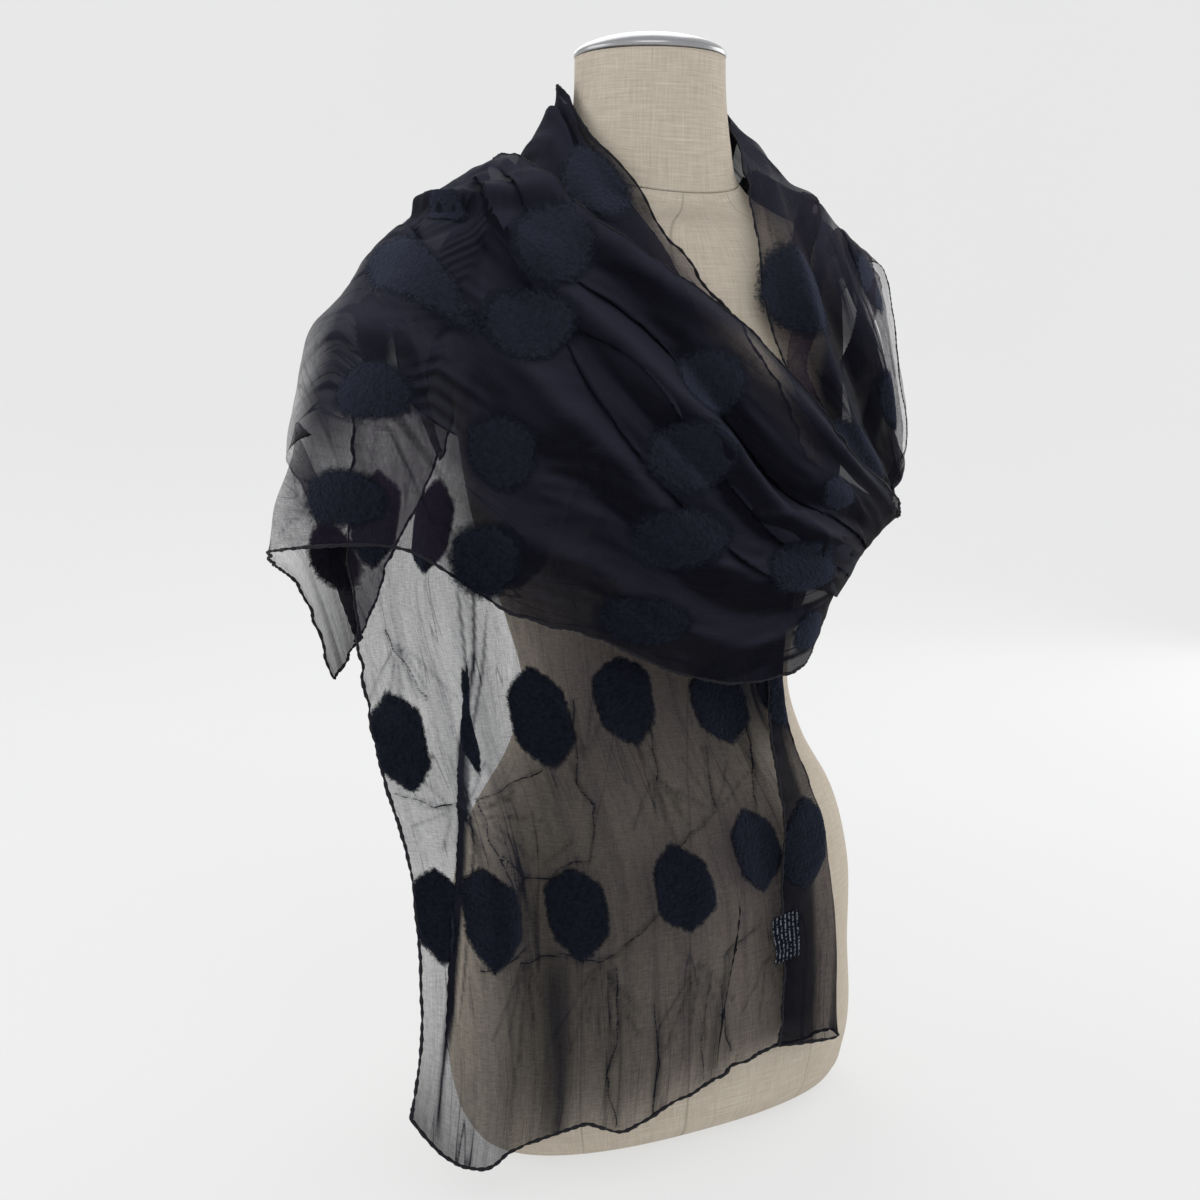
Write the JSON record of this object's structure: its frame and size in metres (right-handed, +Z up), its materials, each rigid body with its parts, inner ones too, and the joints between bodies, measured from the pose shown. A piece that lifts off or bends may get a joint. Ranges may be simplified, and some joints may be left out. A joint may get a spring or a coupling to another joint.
{
  "type": "felted scarf on a dress form",
  "caption": "Sheer crinkled scarf with felted wool dots, wound once around a limbless linen dress form that stands on its flat base.",
  "frame": {"origin": "on the form's flat base, under the middle of its neck", "axes": "+Z up through the neck, -Y towards the form's front, +X to the wearer's left"},
  "size_m": [0.5871, 0.3335, 0.9109],
  "materials": {
    "linen": "plain linen weave",
    "chrome": "polished, turned",
    "sheer": "sheer crinkled silk with a rolled hem",
    "felt": "matted wool felt",
    "label": "smooth woven tape, bare"
  },
  "bodies": {
    "root": {"form_torso": "linen", "form_neck": "linen", "neck_cap": "chrome", "scarf_front_panel": "sheer", "scarf_folded_edge": "sheer", "scarf_neck_back": "sheer", "scarf_left_front": "sheer", "scarf_wrap": "sheer", "scarf_cape": "sheer", "scarf_back_end": "sheer", "care_label": "label", "felt_dot_01": "felt", "felt_dot_02": "felt", "felt_dot_03": "felt", "felt_dot_04": "felt", "felt_dot_05": "felt", "felt_dot_06": "felt", "felt_dot_07": "felt", "felt_dot_08": "felt", "felt_dot_09": "felt", "felt_dot_10": "felt", "felt_dot_11": "felt", "felt_dot_12": "felt", "felt_dot_13": "felt", "felt_dot_14": "felt", "felt_dot_15": "felt", "felt_dot_16": "felt", "felt_dot_17": "felt", "felt_dot_18": "felt", "felt_dot_19": "felt", "felt_dot_20": "felt", "felt_dot_21": "felt", "felt_dot_22": "felt", "felt_dot_23": "felt", "felt_dot_24": "felt", "felt_dot_25": "felt", "felt_dot_26": "felt", "felt_dot_27": "felt", "felt_dot_28": "felt", "felt_dot_29": "felt", "felt_dot_30": "felt", "felt_dot_31": "felt", "felt_dot_32": "felt", "felt_dot_33": "felt", "felt_dot_34": "felt", "felt_dot_35": "felt", "felt_dot_36": "felt", "felt_dot_37": "felt", "felt_dot_38": "felt", "felt_dot_39": "felt", "felt_dot_40": "felt", "felt_dot_41": "felt", "felt_dot_42": "felt", "felt_dot_43": "felt", "felt_dot_44": "felt", "felt_dot_45": "felt", "felt_dot_46": "felt", "felt_dot_47": "felt", "felt_dot_48": "felt", "felt_dot_49": "felt"}
  },
  "joints": []
}
